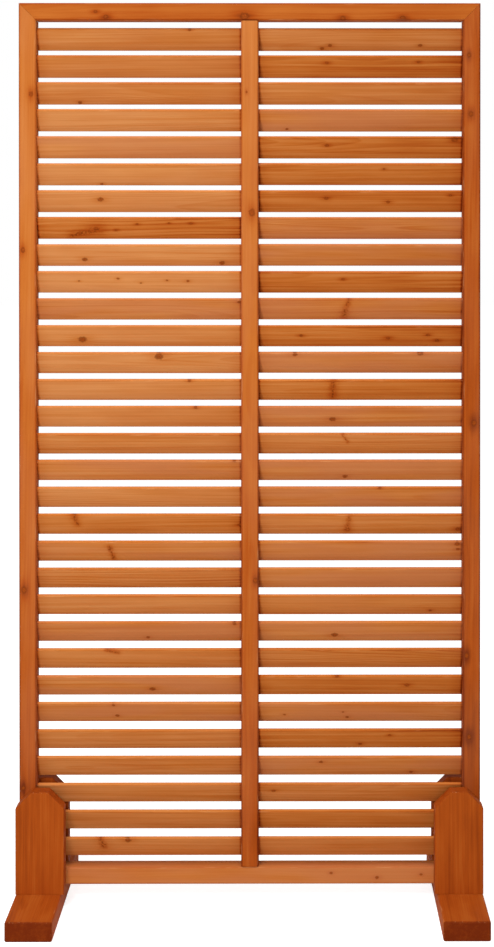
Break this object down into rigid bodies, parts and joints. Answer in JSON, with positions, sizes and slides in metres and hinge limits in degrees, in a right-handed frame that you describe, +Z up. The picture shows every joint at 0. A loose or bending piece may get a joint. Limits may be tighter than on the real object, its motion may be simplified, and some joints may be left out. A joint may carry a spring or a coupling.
{
  "type": "garden privacy screen",
  "caption": "Free-standing timber privacy screen: fixed tilted slats in a mitred frame with a centre mullion, clamped between short chamfered posts on foot beams.",
  "frame": {"origin": "on the ground, midway between the feet across the screen and midway along the feet from front to back", "axes": "+X to the right as seen from the front, along the rails; +Y to the back, along the feet; +Z up, along the stiles"},
  "size_m": [0.906, 0.5, 1.766],
  "materials": {
    "frame_wood": "satin translucent honey-orange stain on planed softwood",
    "slat_wood": "satin translucent honey-orange stain on planed softwood, tone varies from board to board",
    "stand_wood": "satin translucent reddish-brown stain on planed softwood",
    "screw_steel": "zinc-plated"
  },
  "bodies": {
    "root": {"left_stile": "frame_wood", "right_stile": "frame_wood", "top_rail": "frame_wood", "bottom_rail": "frame_wood", "centre_mullion": "frame_wood", "slat_row_01": "slat_wood", "slat_row_02": "slat_wood", "slat_row_03": "slat_wood", "slat_row_04": "slat_wood", "slat_row_05": "slat_wood", "slat_row_06": "slat_wood", "slat_row_07": "slat_wood", "slat_row_08": "slat_wood", "slat_row_09": "slat_wood", "slat_row_10": "slat_wood", "slat_row_11": "slat_wood", "slat_row_12": "slat_wood", "slat_row_13": "slat_wood", "slat_row_14": "slat_wood", "slat_row_15": "slat_wood", "slat_row_16": "slat_wood", "slat_row_17": "slat_wood", "slat_row_18": "slat_wood", "slat_row_19": "slat_wood", "slat_row_20": "slat_wood", "slat_row_21": "slat_wood", "slat_row_22": "slat_wood", "slat_row_23": "slat_wood", "slat_row_24": "slat_wood", "slat_row_25": "slat_wood", "slat_row_26": "slat_wood", "slat_row_27": "slat_wood", "slat_row_28": "slat_wood", "slat_row_29": "slat_wood", "slat_row_30": "slat_wood", "slat_row_31": "slat_wood", "left_foot": "stand_wood", "right_foot": "stand_wood", "left_front_post": "stand_wood", "left_rear_post": "stand_wood", "right_front_post": "stand_wood", "right_rear_post": "stand_wood", "bottom_left_corner_screw": "screw_steel", "bottom_right_corner_screw": "screw_steel", "top_left_corner_screw": "screw_steel", "top_right_corner_screw": "screw_steel", "bottom_mullion_screw": "screw_steel", "top_mullion_screw": "screw_steel", "left_lower_clamp_screw": "screw_steel", "left_upper_clamp_screw": "screw_steel", "right_lower_clamp_screw": "screw_steel", "right_upper_clamp_screw": "screw_steel", "left_front_outer_foot_screw": "screw_steel", "left_front_inner_foot_screw": "screw_steel", "left_rear_outer_foot_screw": "screw_steel", "left_rear_inner_foot_screw": "screw_steel", "right_front_outer_foot_screw": "screw_steel", "right_front_inner_foot_screw": "screw_steel", "right_rear_outer_foot_screw": "screw_steel", "right_rear_inner_foot_screw": "screw_steel"}
  },
  "joints": []
}
